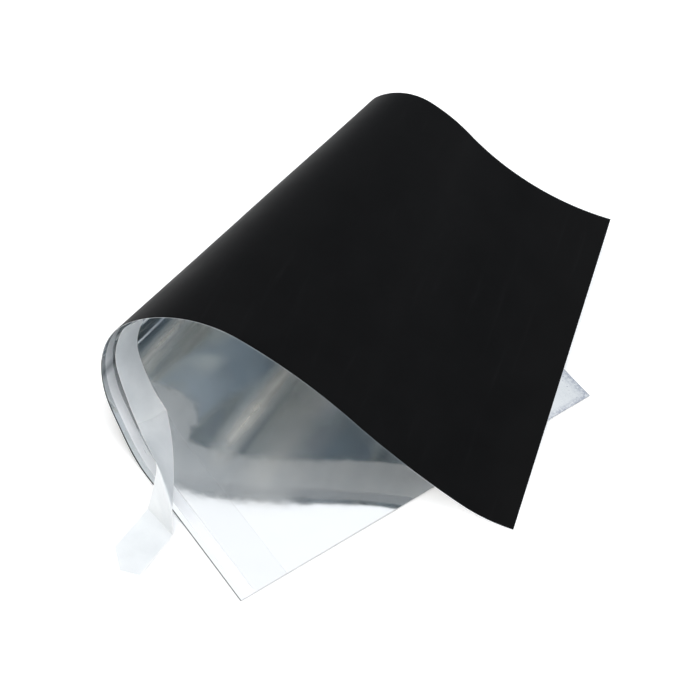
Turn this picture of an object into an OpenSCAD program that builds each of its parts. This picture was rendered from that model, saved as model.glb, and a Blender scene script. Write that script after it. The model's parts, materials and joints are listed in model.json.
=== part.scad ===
// Light-tight film changing wrap: one rectangular laminate sheet, black outside and silver
// inside, folded over on itself, with a self-adhesive closing strip whose release liner is
// partly peeled off.
//
// Frame: X runs across the sheet from the closing edge, Y along the closing edge from the lower
// end, and Z is up. The origin is the lower corner of the closing edge, on the floor.
//
// The sheet is bent but never stretched. Straight bend lines cross it, and between two of them
// the sheet is part of a circular cone, so the whole surface would roll out flat.

/* [Sheet] */
// Width across the sheet, from the closing edge to the back edge
sheet_w = 300; // [290:5:310]
// Thickness of the black outer film
film_t = 0.2; // [0.16:0.02:0.24]
// Thickness of the silver inner foil
foil_t = 0.12; // [0.08:0.02:0.16]
// Clearance left between two layers
layer_gap = 0.02; // [0.01:0.01:0.03]
// Gap left in each layer where a bend hinge crosses it
hinge_gap = 0.3; // [0.2:0.1:0.4]

/* [Closing strip] */
// Bare margin between the closing edge and the adhesive strip
strip_margin = 10.5; // [9:0.5:12]
// Width of the adhesive strip
strip_w = 24; // [20:0.5:24]
// Thickness of the adhesive strip
strip_t = 0.08; // [0.06:0.02:0.1]
// Width of the release liner, which covers the strip
liner_w = 24.5; // [24:0.5:26]
// Thickness of the release liner
liner_t = 0.12; // [0.1:0.02:0.16]

/* [Loose end of the liner] */
// Length of the flat end along each side
end_long = 35; // [30:1:40]
// How far the end's tip reaches past its shorter corner
end_tip = 11.5; // [10:0.5:13]
// Height of the flat end above the floor
end_z = 0.3; // [0.2:0.1:0.5]

/* [Zone lengths along the closing edge] */
// Flat panel on the floor
flat_front = 75; // [73:1:77]
// Lift, where the sheet leaves the floor
lift_front = 75; // [73:1:77]
// Curl, the tight bend
curl_front = 80; // [78:1:82]
// Shoulder, over the top of the curl
shoulder_front = 75; // [73:1:77]
// Crown, which eases into the upper panel
crown_front = 90; // [88:1:92]
// Sweep, the first part of the counter-bend
sweep_front = 95; // [93:1:97]
// Tip, the last part of the counter-bend
tip_front = 37; // [36:1:38]

/* [Zone lengths along the back edge] */
// Flat panel on the floor
flat_back = 150; // [148:1:152]
// Lift, where the sheet leaves the floor
lift_back = 122; // [120:1:124]
// Curl, the tight bend
curl_back = 40; // [39:1:41]
// Shoulder, over the top of the curl
shoulder_back = 44; // [43:1:45]
// Crown, which eases into the upper panel
crown_back = 40; // [39:1:41]
// Sweep, the first part of the counter-bend
sweep_back = 44; // [43:1:45]

/* [Turn of each zone in degrees, positive towards the silver side] */
// Lift
lift_turn = 26; // [25:0.5:27]
// Curl
curl_turn = 111; // [110:0.5:112]
// Shoulder
shoulder_turn = 60; // [59:0.5:61]
// Crown
crown_turn = 17; // [16.5:0.5:17.5]
// Sweep
sweep_turn = -12; // [-12.5:0.5:-11.5]
// Tip
tip_turn = -27; // [-27.5:0.5:-26.5]

/* [Hidden] */

film_colour = [0.1, 0.1, 0.1];
foil_colour = [0.75, 0.78, 0.8];
strip_colour = [0.85, 0.9, 0.92];
liner_colour = [0.93, 0.94, 0.95];

// Heights of the layers above the outer face of the black film
foil_z = film_t + layer_gap;
strip_z = foil_z + foil_t + layer_gap;
liner_z = strip_z + strip_t + layer_gap;
// Facets in each half of a bend segment
half_facets = 4;
// Smallest difference in direction between two neighbouring bend lines, in degrees
least_fan = 0.1;

// The two long edges have the same length
sheet_l = flat_front + lift_front + curl_front + shoulder_front + crown_front + sweep_front
    + tip_front;
tip_back = sheet_l - flat_back - lift_back - curl_back - shoulder_back - crown_back - sweep_back;

// Each zone past the flat panel: length in front, length at the back, turn, bend segments
ZONES = [
    [lift_front, lift_back, lift_turn, 1],
    [curl_front, curl_back, curl_turn, 3],
    [shoulder_front, shoulder_back, shoulder_turn, 2],
    [crown_front, crown_back, crown_turn, 1],
    [sweep_front, sweep_back, sweep_turn, 1],
    [tip_front, tip_back, tip_turn, 1]
];
zone_count = 6;

// Where bend line i meets the closing edge and the back edge, measured along the flat sheet
function front_at(i) = i == 0 ? flat_front : front_at(i - 1) + ZONES[i - 1][0];
function back_at(i) = i == 0 ? flat_back : back_at(i - 1) + ZONES[i - 1][1];
// Direction of bend line i in the flat sheet, 0 when it runs straight across
function line_angle(i) = atan((front_at(i) - back_at(i)) / sheet_w);
function fan(i) = let (f = line_angle(i + 1) - line_angle(i)) abs(f) < least_fan ? least_fan : f;
// Flat apex of zone i as [along, across]: where its two bounding bend lines meet
function apex_reach(i) = let (
    a = line_angle(i),
    b = a + fan(i),
    run = front_at(i + 1) - front_at(i)
) run * cos(b) / sin(b - a);
function apex_along(i) = front_at(i) - apex_reach(i) * sin(line_angle(i));
function apex_across(i) = apex_reach(i) * cos(line_angle(i));

// A bend line's frame in space: a point on the closing edge, then unit vectors along the line
// towards the closing edge, square to it in the sheet, and normal to the silver side
function first_frame() = let (a = line_angle(0)) [
    [0, front_at(0), 0],
    [-cos(a), sin(a), 0],
    [sin(a), cos(a), 0],
    [0, 0, 1]
];
function bend_rate(i) = ZONES[i][2] / fan(i);
// The unit vectors of zone i after a share x of the zone, starting from frame f
function turned(f, i, x) = let (
    k = bend_rate(i),
    w = sqrt(1 + k * k),
    a = w * fan(i) * x,
    pull = (k * f[3] - f[1]) / w,
    pole = (k * f[1] + f[3]) / w,
    line = f[1] + (sin(a) * f[2] + (1 - cos(a)) * pull) / w
) [line, cos(a) * f[2] + sin(a) * pull, w * pole - k * line];
// Distance from the apex to the sheet's point at `across` on the line that x marks
function reach(i, x, across) = (apex_across(i) - across) / cos(line_angle(i) + fan(i) * x);
function apex_point(f, i) = f[0] - reach(i, 0, 0) * f[1];
function next_frame(f, i) = let (t = turned(f, i, 1)) concat(
    [apex_point(f, i) + reach(i, 1, 0) * t[0]],
    t
);
FRAMES = [for (i = 0, f = first_frame(); i < zone_count; f = next_frame(f, i), i = i + 1) f];

// The sheet's point in zone i, at share x of the zone, `across` from the closing edge and `lift`
// above the outer face
function sheet_point(i, x, across, lift) = let (t = turned(FRAMES[i], i, x))
    apex_point(FRAMES[i], i) + reach(i, x, across) * t[0] + lift * t[2];

// Bend segments, each with a hinge at its middle: [zone, start, end]
SEGMENTS = [for (i = [0:zone_count - 1]) for (j = [0:ZONES[i][3] - 1])
    [i, j / ZONES[i][3], (j + 1) / ZONES[i][3]]];
segment_count = len(SEGMENTS);
// Share of a zone that half a hinge gap takes
function gap_share(i) = hinge_gap / (ZONES[i][0] + ZONES[i][1]);
function middle(s) = (s[1] + s[2]) / 2;
function steps(i, from, to) = [for (j = [0:half_facets]) [i, from + (to - from) * j / half_facets]];
function half_before(s) = steps(s[0], s[1], middle(s) - gap_share(s[0]));
function half_after(s) = steps(s[0], middle(s) + gap_share(s[0]), s[2]);
// The cross lines of body b, from the hinge before it to the hinge after it
function body_lines(b) =
    b == 0 ? half_before(SEGMENTS[0])
    : b == segment_count ? half_after(SEGMENTS[b - 1])
    : concat(half_after(SEGMENTS[b - 1]), joined(b));
// Lines at a boundary that two segments share are drawn once
function joined(b) = [for (j = [1:half_facets]) half_before(SEGMENTS[b])[j]];

// The four corners of a layer where a cross line cuts it
function cut(line, inner, outer, low, high) = [
    sheet_point(line[0], line[1], inner, low),
    sheet_point(line[0], line[1], outer, low),
    sheet_point(line[0], line[1], outer, high),
    sheet_point(line[0], line[1], inner, high)
];
// The lower end of the flat panel, where the sheet starts
function end_cut(inner, outer, low, high) = [
    [inner, 0, low], [outer, 0, low], [outer, 0, high], [inner, 0, high]
];

// A closed skin around a row of four-cornered cuts
module skin(cuts) {
    last = len(cuts) - 1;
    points = [for (c = cuts) each c];
    // Opposite sides are split along matching diagonals, so that a twisted skin keeps its thickness
    sides = [for (j = [0:last - 1]) for (k = [0:3]) let (
        a = 4 * j + k,
        b = 4 * j + (k + 1) % 4,
        c = a + 4,
        d = b + 4
    ) each k < 2 ? [[a, b, c], [b, d, c]] : [[a, b, d], [a, d, c]]];
    ends = [[3, 2, 1, 0], [4 * last, 4 * last + 1, 4 * last + 2, 4 * last + 3]];
    polyhedron(points, concat(sides, ends));
}

// The hanging liner, from just below the peel line down the inside of the curl, out over the
// closing edge and to the floor. Each row is a place on its left edge, then the line across the
// liner there: its heading in plan and its dip in degrees, and its length in liner widths, which
// is over 1 where that line crosses the liner at a slant
HANG = [
    [26, 165, 78, 24, 14, 1],
    [19, 171, 66, 20, 16, 1],
    [12, 166, 46, 22, 18, 1],
    [10, 146, 25, 21, 12, 1],
    [10, 133, 13, 16, 2, 1],
    [8, 132, 21, 2, 18, 1],
    [3, 119, 28, -28, 36, 1],
    [-1, 103, 33, -76, 41, 1.12],
    [-2, 94, 25, -102, 14, 1.2]
];
// The fold where the liner meets the floor, and the heading of the flat end past it
fold_left = [-12.7, 85.9, end_z];
fold_heading = -84;
end_heading = -157;
// The fold crosses the liner at a slant: its length, and how far its far end runs ahead
fold_w = liner_w / sin(fold_heading - end_heading);
fold_skew = liner_w / tan(fold_heading - end_heading);
// Clearance between the hanging liner and the pieces at its two ends
liner_gap = 0.4;
// The bend segment whose hinge the liner peels at, and the first body that still carries liner
peel_segment = 4;
peel_body = peel_segment + 1;

function unit(v) = v / norm(v);
function heading_dip(heading, dip) =
    [cos(heading) * cos(dip), sin(heading) * cos(dip), -sin(dip)];
function peel_edge(across) = let (s = SEGMENTS[peel_segment])
    sheet_point(s[0], middle(s) - gap_share(s[0]), across, liner_z + liner_gap);
// Left and right edge at every station
STATIONS = concat(
    [[peel_edge(strip_margin), peel_edge(strip_margin + liner_w)]],
    [for (h = HANG) let (left = [h[0], h[1], h[2]])
        [left, left + liner_w * h[5] * heading_dip(h[3], h[4])]],
    [[fold_left, fold_left + fold_w * heading_dip(fold_heading, 0)]]
);
// A smooth course through the stations, at share x between stations j and j + 1
function station(j, side) = STATIONS[max(0, min(len(STATIONS) - 1, j))][side];
function course(j, x, side) = let (
    a = station(j - 1, side), b = station(j, side),
    c = station(j + 1, side), d = station(j + 2, side)
) ((-a + 3 * b - 3 * c + d) * x * x * x + (2 * a - 5 * b + 4 * c - d) * x * x
    + (c - a) * x + 2 * b) / 2;
course_steps = 4;
EDGES = [for (j = [0:len(STATIONS) - 2]) for (k = [0:course_steps - 1])
    [course(j, k / course_steps, 0), course(j, k / course_steps, 1)]];
function middle_line(j) = let (e = EDGES[max(0, min(len(EDGES) - 1, j))]) e[0] + e[1];
function liner_cut(j) = let (
    left = EDGES[j][0],
    right = EDGES[j][1],
    half = unit(cross(right - left, middle_line(j + 1) - middle_line(j - 1))) * liner_t / 2
) [left - half, right - half, right + half, left + half];

module liner_hang() {
    color(liner_colour) skin([for (j = [0:len(EDGES) - 1]) liner_cut(j)]);
}

// The flat end on the floor runs on from the fold, with its corners cut to a point
module liner_end() {
    color(liner_colour)
        translate(fold_left)
        rotate(end_heading)
        linear_extrude(liner_t)
        polygon([
            [liner_gap, 0],
            [end_long, 0],
            [end_long + end_tip, liner_w / 2],
            [end_long + fold_skew, liner_w],
            [fold_skew + liner_gap, liner_w]
        ]);
}

// One layer of body b, between two distances from the closing edge
module layer(b, inner, outer, low, thick) {
    start = b == 0 ? [end_cut(inner, outer, low, low + thick)] : [];
    skin(concat(start, [for (l = body_lines(b)) cut(l, inner, outer, low, low + thick)]));
}

module film(b) {
    color(film_colour) layer(b, 0, sheet_w, 0, film_t);
}

module foil(b) {
    color(foil_colour) layer(b, 0, sheet_w, foil_z, foil_t);
}

module strip(b) {
    color(strip_colour) layer(b, strip_margin, strip_margin + strip_w, strip_z, strip_t);
}

module liner(b) {
    color(liner_colour) layer(b, strip_margin, strip_margin + liner_w, liner_z, liner_t);
}

film(0);  // lower_panel_film
foil(0);  // lower_panel_foil
strip(0);  // lower_panel_strip
film(1);  // lower_bend_film
foil(1);  // lower_bend_foil
strip(1);  // lower_bend_strip
film(2);  // curl_low_film
foil(2);  // curl_low_foil
strip(2);  // curl_low_strip
film(3);  // curl_side_film
foil(3);  // curl_side_foil
strip(3);  // curl_side_strip
film(4);  // curl_high_film
foil(4);  // curl_high_foil
strip(4);  // curl_high_strip
film(5);  // shoulder_film
foil(5);  // shoulder_foil
strip(5);  // shoulder_strip
film(6);  // crown_film
foil(6);  // crown_foil
strip(6);  // crown_strip
film(7);  // upper_panel_film
foil(7);  // upper_panel_foil
strip(7);  // upper_panel_strip
film(8);  // sweep_film
foil(8);  // sweep_foil
strip(8);  // sweep_strip
film(9);  // free_end_film
foil(9);  // free_end_foil
strip(9);  // free_end_strip
liner(peel_body);  // shoulder_liner
liner(6);  // crown_liner
liner(7);  // upper_panel_liner
liner(8);  // sweep_liner
liner(9);  // free_end_liner
liner_hang();
liner_end();
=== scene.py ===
import json
import math

import bpy
import numpy as np
from mathutils import Matrix, Vector

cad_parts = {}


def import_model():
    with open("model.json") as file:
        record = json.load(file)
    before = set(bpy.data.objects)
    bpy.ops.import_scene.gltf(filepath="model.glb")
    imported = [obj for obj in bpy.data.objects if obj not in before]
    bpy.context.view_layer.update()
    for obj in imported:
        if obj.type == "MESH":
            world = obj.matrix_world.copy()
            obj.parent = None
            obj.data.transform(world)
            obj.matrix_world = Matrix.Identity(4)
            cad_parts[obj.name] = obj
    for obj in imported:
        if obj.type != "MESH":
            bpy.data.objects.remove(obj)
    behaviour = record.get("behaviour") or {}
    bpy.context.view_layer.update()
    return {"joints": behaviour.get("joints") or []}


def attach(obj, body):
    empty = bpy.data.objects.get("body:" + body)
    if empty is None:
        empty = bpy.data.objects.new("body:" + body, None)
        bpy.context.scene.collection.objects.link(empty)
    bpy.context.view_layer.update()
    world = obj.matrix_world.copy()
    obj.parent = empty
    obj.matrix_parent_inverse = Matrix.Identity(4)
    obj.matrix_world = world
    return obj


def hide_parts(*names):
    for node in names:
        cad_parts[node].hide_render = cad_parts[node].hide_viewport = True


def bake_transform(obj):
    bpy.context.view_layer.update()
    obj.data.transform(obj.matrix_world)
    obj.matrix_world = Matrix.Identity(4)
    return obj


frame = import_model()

# Lengths on the sheet and the liner are in millimetres and angles in degrees. MM turns such a
# length into scene units, which are metres.
MM = 0.001

# The sheet, flat: its width, then the lengths of its zones along the closing edge and along the
# back edge, from the flat panel to the tip, and the turn of each zone past the flat panel
SHEET_WIDTH = 300.0
FRONT = [75, 75, 80, 75, 90, 95, 37]
BACK = [150, 122, 40, 44, 40, 44]
BACK.append(sum(FRONT) - sum(BACK))
TURN = [26, 111, 60, 17, -12, -27]
# Every zone past the flat panel bends about one or more hinges of the frame
ZONE_SEGMENTS = [1, 3, 2, 1, 1, 1]
ZONE_COUNT = len(TURN)
BODIES = [
    "lower_panel", "lower_bend", "curl_low", "curl_side", "curl_high",
    "shoulder", "crown", "upper_panel", "sweep", "free_end",
]

# Layers, as heights above the outer face of the black film
FILM_LOW, FILM_HIGH = 0.0, 0.2
FOIL_LOW, FOIL_HIGH = 0.22, 0.34
STRIP_LOW, STRIP_HIGH = 0.36, 0.44
LINER_LOW, LINER_HIGH = 0.46, 0.58
STRIP_MARGIN = 10.5
STRIP_WIDTH = 24.0
LINER_WIDTH = 24.5
# How far the layer on the outside of the cut edge stands past the other one
EDGE_LIP = 0.3
# How much further the film stands out at the cut edge round the bend, and where along the sheet
# that is: its middle and its reach to both sides
BEND_LIP = 0.6
BEND_MIDDLE = 150.0
BEND_REACH = 60.0
# The even gap between the sheet and its ideal surface, which small waves swing about, and the
# heights of the slow, the crossing and the fine ones
WAVE_REST = 0.21
WAVE_HEIGHTS = (0.11, 0.07, 0.02)
# How far the lower half lifts off the floor: the height, the middle and the reach along the
# sheet, and the distance from the closing edge where it is highest
SWELL = 3.4
SWELL_MIDDLE = 80.0
SWELL_REACH = 60.0
SWELL_ACROSS = 150.0
# How far past the flat panel the lower half stays flat, the length over which it comes back to
# the even bend, and where across the sheet that starts to fade and has faded out
SAG_RUN = 31.0
SAG_BACK = 48.0
SAG_FADE = (45.0, 155.0)
# Size of a mesh cell along and across the sheet, and the fewest cells on a side
CELL_ALONG = 2.2
CELL_ACROSS = 4.0
FEWEST_CELLS = 4
# Half the distance over which the surface's slope is taken, as a share of a zone and across
SLOPE_SHARE = 0.002
SLOPE_ACROSS = 1.0


# ---------------------------------------------------------------- the shape of the sheet

def line_angle(i):
    """Direction of bend line i in the flat sheet, in radians; 0 runs straight across."""
    return math.atan((sum(FRONT[: i + 1]) - sum(BACK[: i + 1])) / SHEET_WIDTH)


def unit(v):
    return v / np.linalg.norm(v)


class Zone:
    """Part of a circular cone between two bend lines."""

    def __init__(self, i, start, axes):
        self.start_angle = line_angle(i)
        self.fan = line_angle(i + 1) - self.start_angle
        self.axes = axes
        run = FRONT[i + 1]
        apex_reach = run * math.cos(self.start_angle + self.fan) / math.sin(self.fan)
        self.apex_along = sum(FRONT[: i + 1]) - apex_reach * math.sin(self.start_angle)
        self.apex_across = apex_reach * math.cos(self.start_angle)
        self.bend_rate = math.radians(TURN[i]) / self.fan
        self.apex = start - apex_reach * axes[0]

    def turned(self, share):
        """Unit vectors along the bend line, square to it, and normal, at shares of the zone."""
        line, square, normal = self.axes
        k = self.bend_rate
        w = math.sqrt(1 + k * k)
        a = w * self.fan * np.asarray(share, float)[..., None]
        pull = (k * normal - line) / w
        pole = (k * line + normal) / w
        along = line + (np.sin(a) * square + (1 - np.cos(a)) * pull) / w
        return along, np.cos(a) * square + np.sin(a) * pull, w * pole - k * along

    def flat(self, share, across):
        """Distance from the apex and place along the flat sheet."""
        angle = self.start_angle + self.fan * np.asarray(share, float)
        reach = (self.apex_across - across) / np.cos(angle)
        return reach, self.apex_along + reach * np.sin(angle)

    def place(self, share, across):
        """Points on the sheet, their normals and their places along the flat sheet."""
        along, _, normal = self.turned(share)
        reach, u = self.flat(share, across)
        return self.apex + reach[..., None] * along, normal, u


class Panel:
    """The flat panel on the floor, from the sheet's end to the first bend line."""

    def place(self, share, across):
        share, across = np.broadcast_arrays(np.asarray(share, float), across)
        u = share * (FRONT[0] + (BACK[0] - FRONT[0]) * across / SHEET_WIDTH)
        points = np.stack([across, u, np.zeros_like(u)], -1)
        return points, np.broadcast_to([0.0, 0.0, 1.0], points.shape), u


def build_zones():
    a = line_angle(0)
    axes = [np.array(v) for v in (
        [-math.cos(a), math.sin(a), 0.0], [math.sin(a), math.cos(a), 0.0], [0.0, 0.0, 1.0])]
    start = np.array([0.0, FRONT[0], 0.0])
    zones = []
    for i in range(ZONE_COUNT):
        zone = Zone(i, start, axes)
        zones.append(zone)
        axes = list(zone.turned(1.0))
        start = zone.place(1.0, np.array(0.0))[0]
    return zones


PANEL = Panel()
ZONES = build_zones()
# Each bend segment as its zone and its first and last share of that zone
SEGMENTS = [
    (ZONES[i], j / n, (j + 1) / n) for i, n in enumerate(ZONE_SEGMENTS) for j in range(n)
]
# The liner is still stuck from the middle of this bend segment on
PEEL_SEGMENT = 4


def eased(x):
    """0 to 1 with a flat start and a flat end."""
    return x ** 2 * (3 - 2 * x)


def ripple(u, v):
    """Height of the sheet's faint unevenness, the same for every layer: small waves, and a swell
    where the lower half lifts off the floor towards the fold."""
    slow = np.sin(u / 19.0 + 0.9 * np.sin(v / 61.0)) * (0.6 + 0.4 * np.sin(v / 43.0 + 1.0))
    cross = np.sin(v / 27.0 + u / 55.0) * np.sin(u / 37.0)
    fine = np.sin(u / 7.3 + v / 23.0) * np.sin(v / 13.0 - u / 31.0)
    swell = eased(np.clip(v / SWELL_ACROSS, 0, 1))
    swell *= np.exp(-(((u - SWELL_MIDDLE) / SWELL_REACH) ** 2))
    swell *= 1 - np.clip((v - SWELL_ACROSS) / (SHEET_WIDTH - SWELL_ACROSS), 0, 1)
    waves = sum(height * wave for height, wave in zip(WAVE_HEIGHTS, (slow, cross, fine)))
    return WAVE_REST + waves + SWELL * swell - sag(u, v)


def sag(u, v):
    """How far the sheet hangs below the even bend just past the flat panel: it stays flat for a
    little way, then bends up faster."""
    past = u - FRONT[0] - (BACK[0] - FRONT[0]) * v / SHEET_WIDTH
    rate = math.radians(TURN[0]) / (FRONT[1] + (BACK[1] - FRONT[1]) * v / SHEET_WIDTH)
    rate *= 1 - np.clip((v - SAG_FADE[0]) / (SAG_FADE[1] - SAG_FADE[0]), 0, 1)
    flat = np.clip(past, 0, SAG_RUN)
    back = np.clip((past - SAG_RUN) / SAG_BACK, 0, 1)
    drop = rate * SAG_RUN ** 2 / 2 * (1 - eased(back))
    slope = rate * SAG_RUN * SAG_BACK * (back ** 3 - 2 * back ** 2 + back)
    return np.where(past < SAG_RUN, rate * flat ** 2 / 2, drop + slope)


def surface(zone, share, across, lift):
    """Points of the rippled sheet at a height above its outer face."""
    points, normal, u = zone.place(share, across)
    return points + (lift + ripple(u, across))[..., None] * normal


def surface_normal(zone, share, across, lift):
    def change(d_share, d_across):
        return (surface(zone, share + d_share, across + d_across, lift)
                - surface(zone, share - d_share, across - d_across, lift))
    n = np.cross(change(0, SLOPE_ACROSS), change(SLOPE_SHARE, 0))
    return n / np.linalg.norm(n, axis=-1, keepdims=True)


# ---------------------------------------------------------------- meshes

# A length that keeps a flat face's normal from being divided by nothing
TINY = 1e-12
# How far from the closing edge a layer's edges are looked up
NEAR_EDGE = 5.0


def grid_solid(name, low, high, low_normal, high_normal, flat, material):
    """A thin closed solid between two grids of points, with smooth faces and sharp rims."""
    rows, columns = low.shape[:2]
    count = rows * columns
    index = np.arange(count).reshape(rows, columns)
    quads = [index[:-1, :-1], index[:-1, 1:], index[1:, 1:], index[1:, :-1]]
    top = np.stack(quads, -1).reshape(-1, 4) + count
    bottom = np.stack(quads[::-1], -1).reshape(-1, 4)
    rim = np.concatenate([
        index[0, :], index[1:, -1], index[-1, -2::-1], index[-2:0:-1, 0]])
    following = np.roll(rim, -1)
    wall = np.stack([rim, following, following + count, rim + count], -1)
    faces = np.concatenate([top, bottom, wall])
    vertices = np.concatenate([low.reshape(-1, 3), high.reshape(-1, 3)]) * MM

    if np.dot(np.cross(low[0, 1] - low[0, 0], low[1, 0] - low[0, 0]), high[0, 0] - low[0, 0]) < 0:
        faces = faces[:, ::-1]

    mesh = bpy.data.meshes.new(name)
    mesh.from_pydata(vertices.tolist(), [], faces.tolist())
    mesh.materials.append(material)
    mesh.polygons.foreach_set("use_smooth", np.ones(len(faces), bool))

    flat_layer = mesh.uv_layers.new(name="flat")
    corner = faces.ravel()
    flat_layer.data.foreach_set("uv", (flat.reshape(-1, 2)[corner % count] * MM).ravel())

    # The two skins take the true surface's normals, and the rim its own, so its edges stay sharp
    sides = np.repeat([0, 1, 2], [4 * len(top), 4 * len(bottom), 4 * len(wall)])
    is_top, is_bottom, is_wall = sides == 0, sides == 1, sides == 2
    normals = np.zeros((len(corner), 3))
    normals[is_top] = high_normal.reshape(-1, 3)[corner[is_top] - count]
    normals[is_bottom] = -low_normal.reshape(-1, 3)[corner[is_bottom]]
    wall_points = vertices[faces[-len(wall):]]
    wall_normal = np.cross(
        wall_points[:, 2] - wall_points[:, 0], wall_points[:, 3] - wall_points[:, 1])
    wall_normal /= np.maximum(np.linalg.norm(wall_normal, axis=1, keepdims=True), TINY)
    normals[is_wall] = np.repeat(wall_normal, 4, axis=0)
    mesh.normals_split_custom_set(normals.tolist())
    mesh.validate()
    piece = bpy.data.objects.new(name, mesh)
    bpy.context.scene.collection.objects.link(piece)
    return piece


def steps(length, cell):
    """How many mesh cells a length is cut into."""
    return max(FEWEST_CELLS, int(round(length / cell)))


def layer_piece(name, zone, first, last, across, low, high, material):
    """The piece of one layer between two lines of a zone. across gives the layer's inner and
    outer edge at places along the flat sheet, taken near the closing edge."""
    edges = np.array([0.0, SHEET_WIDTH])
    length = BACK[0] if zone is PANEL else (last - first) * np.mean(np.abs(
        zone.place(1.0, edges)[2] - zone.place(0.0, edges)[2]))
    share = np.linspace(first, last, steps(length, CELL_ALONG) + 1)[:, None]
    inner, outer = across(zone.place(share, np.full_like(share, NEAR_EDGE))[2])
    columns = np.linspace(0, 1, steps(np.max(outer - inner), CELL_ACROSS) + 1)[None, :]
    v = inner + (outer - inner) * columns
    share = np.broadcast_to(share, v.shape)
    u = zone.place(share, v)[2]
    return grid_solid(
        name,
        surface(zone, share, v, low),
        surface(zone, share, v, high),
        surface_normal(zone, share, v, low),
        surface_normal(zone, share, v, high),
        np.stack([v, u], -1),
        material,
    )


def bend_span(segment):
    """Where the bending between a segment's two bodies starts and ends, in metres: planes
    parallel to the hinge that clear the segment's two bounding lines."""
    zone, first, last = segment
    joint = frame["joints"][SEGMENTS.index(segment)]
    hinge, axis = np.array(joint["pos_m"]), np.array(joint["axis"])
    _, square, _ = zone.turned((first + last) / 2)
    square = unit(square - axis * (square @ axis))
    edges = np.array([0.0, SHEET_WIDTH])

    def ahead(share):
        points = zone.place(np.full(2, share), edges)[0] * MM
        return (points - hinge) @ square
    return hinge + square * ahead(first).max(), hinge + square * ahead(last).min()


def carry(piece, segment, node):
    """The piece stands for a CAD node, which is hidden. Its segment's bend span is worked out but
    not used.
    """
    start, end = bend_span(segment)
    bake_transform(piece)
    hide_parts(node)


# ---------------------------------------------------------------- materials

# The sealed band of foil by the closing edge: its two sides, and the width they fade over
SEAL = (3.0, STRIP_MARGIN)
SEAL_FADE = 0.4
# Painted warm reflections and a painted shade streak slant across the foil along the bend. Each
# has the place where it would start at the closing edge and its half width. They lean by the
# slant, and wander by up to the last number
PAINTED_REFLECTION_LOW = (79, 13)
PAINTED_REFLECTION_HIGH = (165, 8)
PAINTED_REFLECTION_WIDE = (42, 30)
# The painted shade streak
PAINTED_SHADE_STREAK = (184, 5)
PAINTED_STREAK_SLANT = 0.43
PAINTED_STREAK_WANDER = 9
# Where the low painted reflections and the high one come in, from the closing edge
LOW_FROM = (36, 60)
HIGH_FROM = (22, 34)
# The worn back edge and end of the foil: their widths, and where the end starts to be worn
WORN_BACK = 9
WORN_END = 5
WORN_END_FROM = (220, 270)
SPECK_MIDDLE = SHEET_WIDTH - 4
SPECK_HALF = 14
# Width of the milky sides of the adhesive and of the liner's pale cut sides
STRIP_SIDE = 0.5
LINER_SIDE = 0.9
# The liner where it hangs free has places below 0 along the sheet, and takes on painted shade,
# greyer, over this length
HANGING_SHADE_FADE = 25

# Linear colours. Where there are two, a pattern mixes them
FILM_BLACK = ((0.0036, 0.0036, 0.0038), (0.0049, 0.0049, 0.0052))
FILM_SCUFF = (0.014, 0.014, 0.015)
FOIL_SILVER = ((0.845, 0.866, 0.880), (0.870, 0.888, 0.900))
FOIL_SEALED = (0.92, 0.935, 0.955)
FOIL_WORN = (0.30, 0.33, 0.44)
# Painted warm reflection on the foil along the bend
FOIL_PAINTED_REFLECTION = (0.92, 0.90, 0.84)
# Painted shade on the foil, in a streak along the bend
FOIL_PAINTED_SHADE = (0.30, 0.33, 0.36)
STRIP_CLEAR = ((0.80, 0.84, 0.88), (0.88, 0.91, 0.94))
LINER_WHITE = ((0.88, 0.91, 0.93), (0.94, 0.96, 0.97))
# Painted shade on the liner where it hangs free of the foil
LINER_HANGING_SHADE = (0.81, 0.84, 0.86)
LINER_CUT = (0.98, 0.98, 0.98)
FLOOR_WHITE = (0.96, 0.96, 0.96, 1)


def mixed_colour(tree, a, b, factor, kind="MIX"):
    """The output of a colour mix in a node tree. Each input is a socket, a colour or a number."""
    node = tree.nodes.new("ShaderNodeMix")
    node.data_type = "RGBA"
    node.blend_type = kind
    for name, value in (("Factor", factor), ("A", a), ("B", b)):
        if isinstance(value, tuple):
            node.inputs[name].default_value = (*value, 1.0)
        elif isinstance(value, float):
            node.inputs[name].default_value = value
        else:
            tree.links.new(value, node.inputs[name])
    return node.outputs["Result"]


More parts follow.
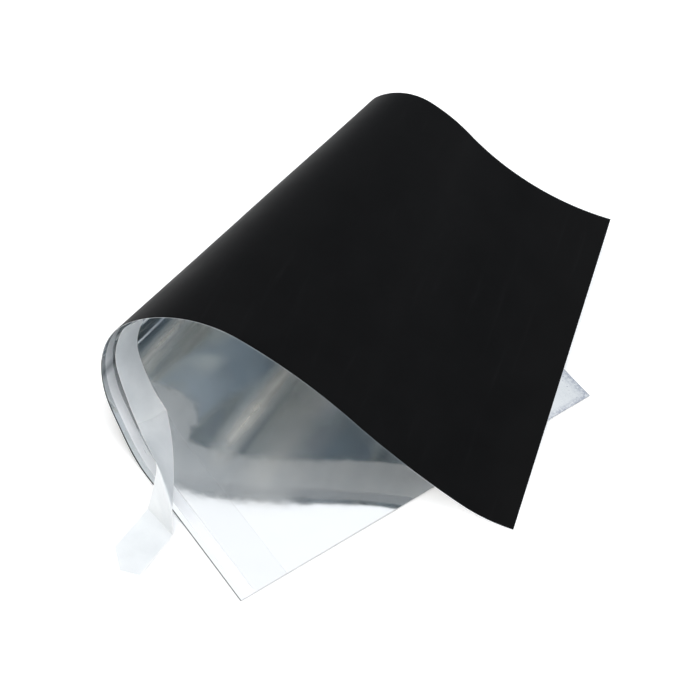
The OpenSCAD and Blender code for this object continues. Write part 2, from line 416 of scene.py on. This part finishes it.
class Graph:
    """Short forms for building a procedural material."""

    def __init__(self, name):
        self.material = bpy.data.materials.new(name)
        self.material.use_nodes = True
        self.tree = self.material.node_tree
        self.nodes = self.tree.nodes
        self.shader = self.nodes["Principled BSDF"]
        uv = self.nodes.new("ShaderNodeUVMap")
        uv.uv_map = "flat"
        self.flat = uv.outputs["UV"]

    def link(self, source, target):
        self.tree.links.new(source, target)

    def scaled(self, x, y):
        """Flat-sheet coordinates multiplied by x across and y along."""
        node = self.nodes.new("ShaderNodeMapping")
        node.inputs["Scale"].default_value = (x, y, 1)
        self.link(self.flat, node.inputs["Vector"])
        return node.outputs["Vector"]

    def noise(self, vector, scale, detail=3.0, roughness=0.5, distortion=0.0):
        """Cloudy noise; on flat-sheet coordinates, scale counts its features in a metre."""
        node = self.nodes.new("ShaderNodeTexNoise")
        node.inputs["Scale"].default_value = scale
        node.inputs["Detail"].default_value = detail
        node.inputs["Roughness"].default_value = roughness
        node.inputs["Distortion"].default_value = distortion
        self.link(vector, node.inputs["Vector"])
        return node.outputs["Fac"]

    def voronoi(self, vector, scale):
        """Distance to the nearest of many scattered points."""
        node = self.nodes.new("ShaderNodeTexVoronoi")
        node.inputs["Scale"].default_value = scale
        self.link(vector, node.inputs["Vector"])
        return node.outputs["Distance"]

    def ranged(self, value, low, high, to_low=0.0, to_high=1.0):
        """The value, carried from low and high to the other two numbers and held there."""
        node = self.nodes.new("ShaderNodeMapRange")
        node.inputs["From Min"].default_value = low
        node.inputs["From Max"].default_value = high
        node.inputs["To Min"].default_value = to_low
        node.inputs["To Max"].default_value = to_high
        self.link(value, node.inputs["Value"])
        return node.outputs["Result"]

    def math(self, operation, a, b=0.0):
        node = self.nodes.new("ShaderNodeMath")
        node.operation = operation
        for socket, value in zip(node.inputs, (a, b)):
            if isinstance(value, (int, float)):
                socket.default_value = value
            else:
                self.link(value, socket)
        return node.outputs["Value"]

    def times(self, a, b):
        return self.math("MULTIPLY", a, b)

    def plus(self, a, b):
        return self.math("ADD", a, b)

    def most(self, first, *others):
        for other in others:
            first = self.math("MAXIMUM", first, other)
        return first

    def mixed(self, factor, a, b):
        return mixed_colour(self.tree, a, b, factor)

    def bump(self, height, strength, distance, normal=None):
        """The normal that a height gives, on top of another; distance is in metres."""
        node = self.nodes.new("ShaderNodeBump")
        node.inputs["Strength"].default_value = strength
        node.inputs["Distance"].default_value = distance
        self.link(height, node.inputs["Height"])
        if normal is not None:
            self.link(normal, node.inputs["Normal"])
        return node.outputs["Normal"]

    def places(self):
        """Places across the sheet, from the closing edge, and along it."""
        node = self.nodes.new("ShaderNodeSeparateXYZ")
        self.link(self.flat, node.inputs["Vector"])
        return node.outputs["X"], node.outputs["Y"]

    def line(self, value, middle, half_width):
        """1 in the middle of a soft line and 0 past its half width; lengths in millimetres."""
        offset = self.math("ABSOLUTE", self.math("SUBTRACT", value, middle * MM))
        return self.ranged(offset, 0.0, half_width * MM, 1.0, 0.0)

    def set(self, **values):
        """Sets shader inputs by name, with _ for each space, to a number, colour or socket."""
        for name, value in values.items():
            socket = self.shader.inputs[name.replace("_", " ")]
            if isinstance(value, tuple):
                socket.default_value = (*value, 1.0)
            elif isinstance(value, (int, float)):
                socket.default_value = value
            else:
                self.link(value, socket)


def film_material():
    """Matt black film: fine calender grain, clouds and faint scuffs."""
    g = Graph("black_film")
    grain = g.noise(g.flat, 2600, detail=2.0)
    cloud = g.noise(g.flat, 26, detail=4.0)
    scuff = g.noise(g.scaled(9, 140), 1.0, detail=6.0, roughness=0.6, distortion=0.4)
    scuffed = g.ranged(scuff, 0.60, 0.80)
    colour = g.mixed(g.ranged(cloud, 0.3, 0.7), *FILM_BLACK)
    colour = g.mixed(g.times(scuffed, 0.35), colour, FILM_SCUFF)
    rough = g.plus(g.ranged(cloud, 0.3, 0.7, 0.42, 0.50), g.times(scuffed, 0.08))
    normal = g.bump(grain, 0.25, 0.00004)
    normal = g.bump(g.noise(g.flat, 150), 0.18, 0.0002, normal)
    g.set(Base_Color=colour, Roughness=rough, Specular_IOR_Level=0.05, Normal=normal)
    return g.material


def foil_wear(g, across, along):
    """How worn the foil is: its back edge, its end there, and specks beside the back edge."""
    end = g.times(g.line(along, 0, WORN_END),
                  g.ranged(across, *(v * MM for v in WORN_END_FROM)))
    rim = g.most(g.line(across, SHEET_WIDTH, WORN_BACK), end)
    worn = g.times(rim, g.ranged(g.noise(g.flat, 420, detail=4.0), 0.35, 0.62, 0.15, 1.0))
    speck = g.times(g.ranged(g.voronoi(g.flat, 260), 0.12, 0.2, 1.0, 0.0),
                    g.line(across, SPECK_MIDDLE, SPECK_HALF))
    return g.times(g.most(worn, speck), 0.7)


def painted_foil_streaks(g, across, along):
    """How strong the painted warm reflections along the bend are, and the painted shade streak.
    """
    wander = g.times(g.noise(g.scaled(9, 5), 1.0, detail=2.0), PAINTED_STREAK_WANDER * MM)
    slanted = g.plus(g.math("SUBTRACT", along, g.times(across, PAINTED_STREAK_SLANT)), wander)
    patchy = g.ranged(g.noise(g.scaled(16, 30), 1.0), 0.35, 0.65, 0.5, 1.0)
    inside = g.ranged(across, *(v * MM for v in LOW_FROM))
    low = g.times(g.line(slanted, *PAINTED_REFLECTION_LOW), inside)
    high = g.times(g.line(slanted, *PAINTED_REFLECTION_HIGH), g.ranged(across, *(v * MM for v in HIGH_FROM)))
    wide = g.times(g.times(g.line(slanted, *PAINTED_REFLECTION_WIDE), inside), 0.4)
    return g.times(patchy, g.most(low, high, wide)), g.times(g.line(slanted, *PAINTED_SHADE_STREAK), 0.75)


def foil_material():
    """Silver foil: soft mirror with rolling lines and pinprick dents, a hazy sealed band by the
    closing edge, a worn back edge, and painted warm reflections and a painted shade streak along
    the bend."""
    g = Graph("silver_foil")
    across, along = g.places()
    rolled = g.noise(g.scaled(900, 14), 1.0, detail=4.0, roughness=0.6)
    haze = g.noise(g.flat, 18, detail=5.0, roughness=0.55)
    dented = g.ranged(g.voronoi(g.flat, 210), 0.0, 0.12, 1.0, 0.0)
    sealed = g.times(
        g.ranged(across, SEAL[0] * MM, (SEAL[0] + SEAL_FADE) * MM),
        g.ranged(across, (SEAL[1] - SEAL_FADE) * MM, SEAL[1] * MM, 1.0, 0.0))
    worn = foil_wear(g, across, along)
    # Painted warm reflections and a painted shade streak along the bend, mixed into the foil's
    # colour
    painted_reflection, painted_shade = painted_foil_streaks(g, across, along)
    colour = g.mixed(g.ranged(haze, 0.35, 0.7), *FOIL_SILVER)
    for cover, tint in ((sealed, FOIL_SEALED), (worn, FOIL_WORN), (painted_reflection, FOIL_PAINTED_REFLECTION),
                        (painted_shade, FOIL_PAINTED_SHADE)):
        colour = g.mixed(cover, colour, tint)
    metal = g.times(g.ranged(painted_reflection, 0.0, 1.0, 1.0, 0.5), g.ranged(sealed, 0.0, 1.0, 1.0, 0.45))
    rough = g.plus(g.ranged(haze, 0.3, 0.7, 0.05, 0.11), g.ranged(rolled, 0.3, 0.7, 0.0, 0.03))
    rough = g.plus(rough, g.times(g.most(painted_reflection, sealed, worn), 0.2))
    normal = g.bump(rolled, 0.10, 0.00004)
    normal = g.bump(dented, 0.10, 0.00005, normal)
    normal = g.bump(sealed, 0.3, 0.00005, normal)
    normal = g.bump(g.noise(g.flat, 60, detail=2.0), 0.16, 0.0006, normal)
    g.set(Base_Color=colour, Metallic=metal, Roughness=rough, Normal=normal)
    return g.material


def strip_material():
    """Clear adhesive: glossy, nearly see-through, with trapped air bubbles and milky sides."""
    g = Graph("adhesive_strip")
    across, _ = g.places()
    end = STRIP_MARGIN + STRIP_WIDTH
    near = g.ranged(across, STRIP_MARGIN * MM, (STRIP_MARGIN + STRIP_SIDE) * MM, 1.0, 0.0)
    far = g.ranged(across, (end - STRIP_SIDE) * MM, end * MM)
    bubble = g.ranged(g.voronoi(g.flat, 420), 0.10, 0.20, 1.0, 0.0)
    bubbly = g.times(bubble, g.ranged(g.noise(g.flat, 45), 0.55, 0.7))
    cover = g.most(g.times(g.most(near, far), 0.14), g.times(bubbly, 0.5))
    alpha = g.plus(g.times(cover, 0.5), 0.015)
    colour = g.mixed(cover, *STRIP_CLEAR)
    normal = g.bump(g.noise(g.flat, 320), 0.3, 0.0002)
    normal = g.bump(bubbly, 0.4, 0.0001, normal)
    g.set(Base_Color=colour, Roughness=0.16, Alpha=alpha, Normal=normal)
    return g.material


def liner_material():
    """Release liner: satin white, slightly see-through, paler at its cut sides. Where it hangs
    free, with no foil behind it, it has painted shade that makes it greyer."""
    g = Graph("release_liner")
    across, along = g.places()
    # Painted shade where the liner hangs free of the foil
    hanging_shade = g.ranged(along, -HANGING_SHADE_FADE * MM, 0.0, 1.0, 0.0)
    side = g.most(g.line(across, STRIP_MARGIN, LINER_SIDE),
                  g.line(across, STRIP_MARGIN + LINER_WIDTH, LINER_SIDE))
    cloud = g.noise(g.flat, 60, detail=4.0)
    fibre = g.noise(g.scaled(260, 1500), 1.0, detail=4.0, roughness=0.6)
    colour = g.mixed(g.ranged(cloud, 0.3, 0.7), *LINER_WHITE)
    colour = g.mixed(g.times(hanging_shade, g.ranged(cloud, 0.3, 0.7, 1.0, 0.6)), colour, LINER_HANGING_SHADE)
    colour = g.mixed(side, colour, LINER_CUT)
    rough = g.ranged(fibre, 0.3, 0.7, 0.26, 0.40)
    alpha = g.most(g.ranged(cloud, 0.3, 0.7, 0.90, 0.96), side)
    normal = g.bump(fibre, 0.10, 0.00005)
    normal = g.bump(g.noise(g.flat, 120), 0.22, 0.0004, normal)
    g.set(Base_Color=colour, Roughness=rough, Alpha=alpha, Normal=normal,
          Specular_IOR_Level=0.6)
    return g.material


FILM, FOIL, STRIP, LINER = film_material(), foil_material(), strip_material(), liner_material()


# ---------------------------------------------------------------- the sheet's layers

def film_edges(u):
    """The film stands out at the cut edge on the lower half, and most of all round the bend."""
    past_bend = (u - BEND_MIDDLE) / BEND_REACH
    lip = EDGE_LIP * (1 - np.clip(past_bend, -1, 1)) / 2 + BEND_LIP * np.exp(-(past_bend ** 2))
    return -lip, SHEET_WIDTH + lip


def foil_edges(u):
    """The foil stands out at the cut edge on the upper half."""
    lip = EDGE_LIP * (1 + np.clip((u - BEND_MIDDLE) / BEND_REACH, -1, 1)) / 2
    return -lip, SHEET_WIDTH + lip


def strip_edges(u):
    return np.full_like(u, STRIP_MARGIN), np.full_like(u, STRIP_MARGIN + STRIP_WIDTH)


def liner_edges(u):
    return np.full_like(u, STRIP_MARGIN), np.full_like(u, STRIP_MARGIN + LINER_WIDTH)


LAYERS = [
    ("film", film_edges, FILM_LOW, FILM_HIGH, FILM),
    ("foil", foil_edges, FOIL_LOW, FOIL_HIGH, FOIL),
    ("strip", strip_edges, STRIP_LOW, STRIP_HIGH, STRIP),
    ("liner", liner_edges, LINER_LOW, LINER_HIGH, LINER),
]


def build_layer(layer, edges, low, high, material):
    """One layer in pieces: the flat panel's, then one round each bend segment. The liner starts
    at the peel line."""
    if layer != "liner":
        panel = layer_piece("sheet_lower_panel_" + layer, PANEL, 0, 1, edges, low, high, material)
        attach(panel, "lower_panel")
        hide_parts("lower_panel_" + layer)
    for k, segment in enumerate(SEGMENTS):
        zone, first, last = segment
        if layer == "liner" and k < PEEL_SEGMENT:
            continue
        if layer == "liner" and k == PEEL_SEGMENT:
            first = (first + last) / 2
        body = BODIES[k + 1]
        piece = layer_piece(
            "sheet_" + body + "_" + layer, zone, first, last, edges, low, high, material)
        carry(piece, segment, body + "_" + layer)


for row in LAYERS:
    build_layer(*row)


# ---------------------------------------------------------------- the loose liner

# The hanging liner past the peel line. Each row is a place on its left edge, then the heading
# and dip of the line across the liner there, and that line's length in liner widths
HANG = [
    (26, 165, 78, 24, 14, 1),
    (19, 171, 66, 20, 16, 1),
    (12, 166, 46, 22, 18, 1),
    (10, 146, 25, 21, 12, 1),
    (10, 133, 13, 16, 2, 1),
    (8, 132, 21, 2, 18, 1),
    (3, 119, 28, -28, 36, 1),
    (-1, 103, 33, -76, 41, 1.12),
    (-2, 94, 25, -102, 14, 1.2),
]
# The fold on the floor: its left end, its heading, the heading of the flat end past it, and how
# far the fold's right end runs ahead of its left end
FOLD_LEFT = np.array([-12.7, 85.9, 0.3])
FOLD_HEADING = -84
END_HEADING = -157
FOLD_SLANT = math.radians(FOLD_HEADING - END_HEADING)
FOLD_SKEW = LINER_WIDTH / math.tan(FOLD_SLANT)
# The flat end's length along its left side, and how far its point stands out past that
END_LONG = 35.0
END_TIP = 11.5
# The flat end's faint wave off the floor: its height and length, and where it is in full
END_WAVE = 0.9
END_WAVE_LENGTH = 11.0
END_WAVE_FULL = 30.0
LINER_THICKNESS = LINER_HIGH - LINER_LOW
# Mesh steps between two rows of HANG, and columns across the liner
RIBBON_STEPS = 10
RIBBON_COLUMNS = 10


def heading_dip(heading, dip):
    """Unit vector at a heading in plan and a dip below level."""
    h, d = math.radians(heading), math.radians(dip)
    return np.array([math.cos(h) * math.cos(d), math.sin(h) * math.cos(d), -math.sin(d)])


def peel_edge(across):
    zone, first, last = SEGMENTS[PEEL_SEGMENT]
    return surface(zone, np.array((first + last) / 2), np.array(across), LINER_LOW)


def ribbon_stations():
    """The liner's left and right edge at the peel line, at each row of HANG and at the fold."""
    rows = [(peel_edge(STRIP_MARGIN), peel_edge(STRIP_MARGIN + LINER_WIDTH))]
    for x, y, z, heading, dip, widths in HANG:
        left = np.array([x, y, z], float)
        rows.append((left, left + LINER_WIDTH * widths * heading_dip(heading, dip)))
    fold = LINER_WIDTH / math.sin(FOLD_SLANT) * heading_dip(FOLD_HEADING, 0)
    rows.append((FOLD_LEFT, FOLD_LEFT + fold))
    return np.array(rows)


def smooth_course(rows, count):
    """A smooth curve through the rows, with count steps between two of them."""
    padded = np.concatenate([rows[:1], rows, rows[-1:]])
    points = []
    for a, b, c, d in zip(padded, padded[1:], padded[2:], padded[3:]):
        for x in np.arange(count) / count:
            points.append((
                (-a + 3 * b - 3 * c + d) * x ** 3 + (2 * a - 5 * b + 4 * c - d) * x ** 2
                + (c - a) * x + 2 * b) / 2)
    points.append(rows[-1])
    return np.array(points)


def ribbon_solid(name, grid, flat, thickness, material):
    """A thin solid round a grid of points on the ribbon's middle surface."""
    d_along = np.gradient(grid, axis=0)
    d_across = np.gradient(grid, axis=1)
    n = np.cross(d_across, d_along)
    n /= np.linalg.norm(n, axis=-1, keepdims=True)
    half = n * thickness / 2
    return grid_solid(name, grid - half, grid + half, n, n, flat, material)


def liner_ribbon():
    """The hanging liner."""
    course = smooth_course(ribbon_stations(), RIBBON_STEPS)
    share = np.linspace(0, 1, RIBBON_COLUMNS + 1)[None, :, None]
    grid = course[:, None, 0] * (1 - share) + course[:, None, 1] * share
    run = np.linalg.norm(np.diff(grid.mean(axis=1), axis=0), axis=1)
    u = np.concatenate([[0], np.cumsum(run)])
    flat = np.stack(np.broadcast_arrays(
        STRIP_MARGIN + share[..., 0] * LINER_WIDTH, -u[:, None]), -1)
    piece = ribbon_solid("liner_ribbon", grid, flat, LINER_THICKNESS, LINER)
    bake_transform(piece)
    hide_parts("liner_hang")


def liner_tail():
    """The liner's flat end on the floor, from the slanting fold to its point."""
    across = np.linspace(0, LINER_WIDTH, RIBBON_COLUMNS + 1)
    near = across / LINER_WIDTH * FOLD_SKEW
    past_middle = 2 * across / LINER_WIDTH - 1
    far = END_LONG + END_TIP + past_middle * np.where(
        past_middle <= 0, END_TIP, FOLD_SKEW - END_TIP)
    share = np.linspace(0, 1, RIBBON_STEPS * 2 + 1)[:, None]
    x = near + (far - near) * share
    y = np.broadcast_to(across, x.shape)
    heading = math.radians(END_HEADING)
    grid = np.stack([
        FOLD_LEFT[0] + x * math.cos(heading) - y * math.sin(heading),
        FOLD_LEFT[1] + x * math.sin(heading) + y * math.cos(heading),
        FOLD_LEFT[2] + END_WAVE * (1 - np.cos(x / END_WAVE_LENGTH))
        * np.minimum(1, x / END_WAVE_FULL),
    ], -1)
    # Its places along the flat sheet lie past the ribbon's, so its pattern doesn't repeat theirs
    flat = np.stack([STRIP_MARGIN + y, -SHEET_WIDTH - x], -1)
    piece = ribbon_solid("liner_tail", grid, flat, LINER_THICKNESS, LINER)
    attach(piece, "liner_end")
    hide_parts("liner_end")


liner_ribbon()
liner_tail()


# ---------------------------------------------------------------- floor, light and camera

# Places and sizes from here on are in metres. The camera looks from its place along a heading
# from +Y towards +X, and down by the elevation
CAMERA_PLACE = Vector((-0.278, -0.2965, 0.748))
CAMERA_HEADING = 47.39
CAMERA_ELEVATION = 50.46
CAMERA_ROLL = 13.08
CAMERA_LENS = 70.6
CAMERA_RANGE = (0.02, 100.0)
# The floor is a lit table, so that shadows on it stay faint. It reaches past what any view shows,
# and lies just under the sheet
FLOOR_GLOW = 0.22
FLOOR_HALF = 40.0
FLOOR_DROP = 0.0004
# The lamps light the matt surfaces only: place, point aimed at, size and power
LAMPS = {
    "overhead": ((0.1, 0.2, 2.0), (0.15, 0.1, 0), (2.6, 2.6), 20),
    "front_fill": ((-1.3, -0.7, 0.9), (0.1, 0.15, 0.05), (1.4, 1.0), 6),
    "rear_fill": ((1.3, 1.2, 1.1), (0.15, 0.1, 0), (1.2, 1.0), 4),
}
# What the mirror foil reflects: the room, and soft boxes behind the sheet and to its left. Each
# has its direction, and colours by the cosine of the angle from that
ROOM = ((0, 90), [(0.0, (0.22, 0.24, 0.27)), (0.35, (0.42, 0.45, 0.48)),
                  (0.78, (0.52, 0.55, 0.57)), (1.0, (0.80, 0.82, 0.84))])
REAR_BOX = ((42, 62), [(0.0, (0, 0, 0)), (0.80, (0.04, 0.05, 0.07)),
                       (0.94, (0.16, 0.17, 0.19)), (0.972, (0.51, 0.50, 0.50))])
LEFT_BOX = ((-88, 40), [(0.0, (0, 0, 0)), (0.93, (0.0, 0.0, 0.0)),
                        (0.985, (1.9, 1.55, 1.15))])
# Light crosses the fold many times between its two silver faces
MIRROR_BOUNCES = 24


def floor():
    mesh = bpy.data.meshes.new("floor")
    corners = ((-1, -1), (1, -1), (1, 1), (-1, 1))
    mesh.from_pydata(
        [(x * FLOOR_HALF, y * FLOOR_HALF, 0) for x, y in corners], [], [(0, 1, 2, 3)])
    plane = bpy.data.objects.new("floor", mesh)
    plane.location.z = -FLOOR_DROP
    bpy.context.scene.collection.objects.link(plane)
    material = bpy.data.materials.new("floor_white")
    material.use_nodes = True
    shader = material.node_tree.nodes["Principled BSDF"]
    shader.inputs["Base Color"].default_value = FLOOR_WHITE
    shader.inputs["Roughness"].default_value = 0.9
    shader.inputs["Specular IOR Level"].default_value = 0.1
    shader.inputs["Emission Color"].default_value = (1, 1, 1, 1)
    shader.inputs["Emission Strength"].default_value = FLOOR_GLOW
    mesh.materials.append(material)


def camera():
    data = bpy.data.cameras.new("camera")
    data.lens = CAMERA_LENS
    data.clip_start, data.clip_end = CAMERA_RANGE
    cam = bpy.data.objects.new("camera", data)
    bpy.context.scene.collection.objects.link(cam)
    psi, e, roll = (math.radians(a) for a in (CAMERA_HEADING, CAMERA_ELEVATION, CAMERA_ROLL))
    forward = Vector((math.sin(psi) * math.cos(e), math.cos(psi) * math.cos(e), -math.sin(e)))
    right = Vector((math.cos(psi), -math.sin(psi), 0))
    up = right.cross(forward)
    tilted_right = math.cos(roll) * right + math.sin(roll) * up
    tilted_up = math.cos(roll) * up - math.sin(roll) * right
    rotation = Matrix((tilted_right, tilted_up, -forward)).transposed().to_4x4()
    cam.matrix_world = Matrix.Translation(CAMERA_PLACE) @ rotation
    bpy.context.scene.camera = cam


def area_light(name, place, target, size, power):
    data = bpy.data.lights.new(name, "AREA")
    data.shape = "RECTANGLE"
    data.size, data.size_y = size
    data.energy = power
    lamp = bpy.data.objects.new(name, data)
    bpy.context.scene.collection.objects.link(lamp)
    lamp.location = place
    lamp.visible_glossy = False
    lamp.rotation_euler = (Vector(target) - Vector(place)).to_track_quat("-Z", "Y").to_euler()


def toward(azimuth, elevation):
    """Unit vector at an angle from +Y towards +X, and above the floor."""
    a, e = math.radians(azimuth), math.radians(elevation)
    return (math.sin(a) * math.cos(e), math.cos(a) * math.cos(e), math.sin(e))


def world():
    """The studio round the sheet, as the foil reflects it. It is plain white where the camera
    sees it directly."""
    scene_world = bpy.data.worlds.new("studio")
    bpy.context.scene.world = scene_world
    scene_world.use_nodes = True
    tree = scene_world.node_tree
    background = tree.nodes["Background"]
    coordinates = tree.nodes.new("ShaderNodeTexCoord")

    def glow(direction, stops):
        product = tree.nodes.new("ShaderNodeVectorMath")
        product.operation = "DOT_PRODUCT"
        product.inputs[1].default_value = toward(*direction)
        tree.links.new(coordinates.outputs["Generated"], product.inputs[0])
        ramp = tree.nodes.new("ShaderNodeValToRGB")
        elements = ramp.color_ramp.elements
        while len(elements) < len(stops):
            elements.new(0.5)
        for element, (position, colour) in zip(elements, stops):
            element.position = position
            element.color = (*colour, 1)
        tree.links.new(product.outputs["Value"], ramp.inputs["Fac"])
        return ramp.outputs["Color"]

    studio = glow(*ROOM)
    for box in (REAR_BOX, LEFT_BOX):
        studio = mixed_colour(tree, studio, glow(*box), 1.0, "ADD")
    seen = tree.nodes.new("ShaderNodeLightPath").outputs["Is Camera Ray"]
    tree.links.new(
        mixed_colour(tree, studio, (1.0, 1.0, 1.0), seen), background.inputs["Color"])
    background.inputs["Strength"].default_value = 1.0


floor()
camera()
world()
for lamp_name, setting in LAMPS.items():
    area_light(lamp_name, *setting)
bpy.context.scene.view_settings.view_transform = "Standard"
bpy.context.scene.cycles.max_bounces = MIRROR_BOUNCES
bpy.context.scene.cycles.glossy_bounces = MIRROR_BOUNCES
